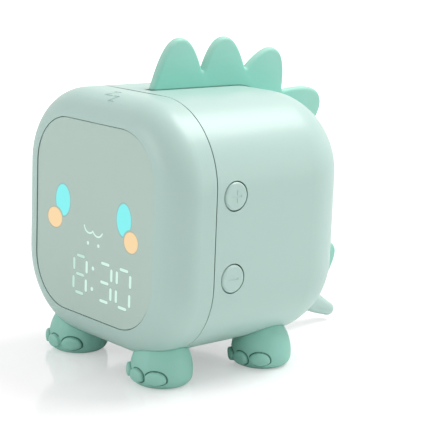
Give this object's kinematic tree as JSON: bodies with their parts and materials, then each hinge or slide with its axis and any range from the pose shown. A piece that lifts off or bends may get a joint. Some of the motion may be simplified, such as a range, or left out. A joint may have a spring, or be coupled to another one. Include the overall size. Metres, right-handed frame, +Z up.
{
  "type": "kids alarm clock with night light",
  "caption": "Rounded cube alarm clock shaped like a small plated animal, with a display face, side buttons, soft feet and a lit row of plates.",
  "frame": {"origin": "on the surface the clock stands on, under the middle of its overall width and depth, tail included", "axes": "+Z up, -Y the display face, +Y the tail, +X the side with the plus and minus buttons"},
  "size_m": [0.0988, 0.132, 0.1264],
  "materials": {
    "shell": "satin moulded ABS, pale mint",
    "panel": "smooth translucent face panel, grey mint",
    "white_film": "white diffusing film",
    "dark_plastic": "black moulded plastic",
    "board": "green solder mask on glass fibre",
    "led": "white light-emitting diode packages",
    "chip": "black moulded chip",
    "connector": "cream nylon plug housing",
    "copper": "thin copper foil",
    "crest": "soft translucent silicone, deeper mint",
    "light_guide": "clear frosted acrylic",
    "flex_board": "white flexible circuit strip",
    "foot_rubber": "soft silicone, deeper mint",
    "button": "satin moulded ABS, pale mint",
    "foam": "closed-cell foam",
    "plated_steel": "nickel-plated pressed steel",
    "cone": "black treated paper",
    "magnet": "coated magnet with steel cup",
    "battery_wrap": "heat-sealed foil pouch",
    "screw_steel": "zinc-plated steel",
    "lead": "soft insulated wire"
  },
  "bodies": {
    "housing": {"front_shell": "shell", "display_panel": "panel", "diffuser_sheet": "white_film", "display_mask": "dark_plastic", "display_board": "board", "display_leds": "led", "controller_chip": "chip", "sound_chip": "chip", "board_connectors": "connector", "touch_electrode": "copper", "rear_shell": "shell", "tail_shell": "shell", "spine_crest": "crest", "tail_plate": "crest", "spine_light_guide": "light_guide", "spine_light_strip": "flex_board", "spine_leds": "led", "front_left_foot": "foot_rubber", "front_right_foot": "foot_rubber", "rear_left_foot": "foot_rubber", "rear_right_foot": "foot_rubber", "right_switches": "dark_plastic", "left_switches": "dark_plastic", "right_switch_board": "board", "left_switch_board": "board", "speaker_gasket": "foam", "speaker_frame": "plated_steel", "speaker_cone": "cone", "speaker_magnet": "magnet", "battery": "battery_wrap", "battery_pad": "foam", "charge_board": "board", "charge_chip": "chip", "usb_socket": "plated_steel", "shell_screws": "screw_steel", "board_screws": "screw_steel", "side_screws": "screw_steel", "tail_screws": "screw_steel", "charge_screws": "screw_steel", "spine_lead": "lead", "right_lead": "lead", "left_lead": "lead", "speaker_lead": "lead", "battery_lead": "lead", "power_lead": "lead", "touch_lead": "lead"},
    "plus_key": {"plus_button": "button", "plus_plunger": "dark_plastic"},
    "minus_key": {"minus_button": "button", "minus_plunger": "dark_plastic"},
    "alarm_key": {"alarm_button": "button", "alarm_plunger": "dark_plastic"},
    "light_key": {"light_button": "button", "light_plunger": "dark_plastic"}
  },
  "joints": [
    {"name": "plus_press", "type": "slide", "parent": "housing", "child": "plus_key", "axis": [-1, 0, 0], "range_m": [0, 0.0006], "stiffness_N_per_m": 600, "springref_m": -0.0012},
    {"name": "minus_press", "type": "slide", "parent": "housing", "child": "minus_key", "axis": [-1, 0, 0], "range_m": [0, 0.0006], "stiffness_N_per_m": 600, "springref_m": -0.0012},
    {"name": "alarm_press", "type": "slide", "parent": "housing", "child": "alarm_key", "axis": [1, 0, 0], "range_m": [0, 0.0006], "stiffness_N_per_m": 600, "springref_m": -0.0012},
    {"name": "light_press", "type": "slide", "parent": "housing", "child": "light_key", "axis": [1, 0, 0], "range_m": [0, 0.0006], "stiffness_N_per_m": 600, "springref_m": -0.0012}
  ]
}
